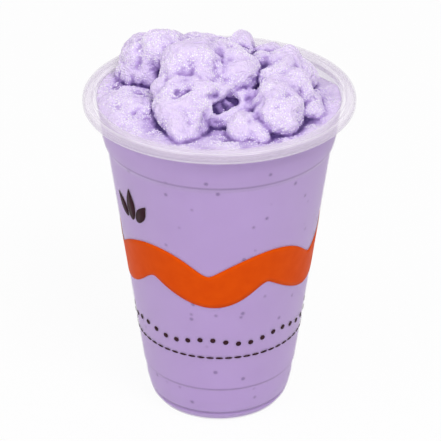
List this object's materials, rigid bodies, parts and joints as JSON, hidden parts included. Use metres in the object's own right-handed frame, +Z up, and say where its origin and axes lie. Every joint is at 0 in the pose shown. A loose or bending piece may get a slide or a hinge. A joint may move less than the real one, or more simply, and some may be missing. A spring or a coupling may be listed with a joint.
{
  "type": "taro slush in a plastic cup",
  "caption": "Lavender taro slush that fills a tall tapered plastic cup to just under its rolled rim, with craggy frozen lumps heaped above the rim.",
  "frame": {"origin": "centre of the foot ring that the cup stands on", "axes": "+Z up along the cup's axis, -Y towards the side that shows most of the heap"},
  "size_m": [0.095, 0.095, 0.1373],
  "materials": {
    "cup": "thin frosted polypropylene, slightly glossy",
    "slush": "wet, finely crushed ice in taro milk",
    "frozen_lump": "packed crushed ice, matt with small glints"
  },
  "bodies": {
    "root": {"cup": "cup", "slush": "slush", "lump_centre": "frozen_lump", "lump_left": "frozen_lump", "lump_right": "frozen_lump", "lump_tongue": "frozen_lump", "lump_middle": "frozen_lump", "lump_front": "frozen_lump", "lump_side": "frozen_lump"}
  },
  "joints": []
}
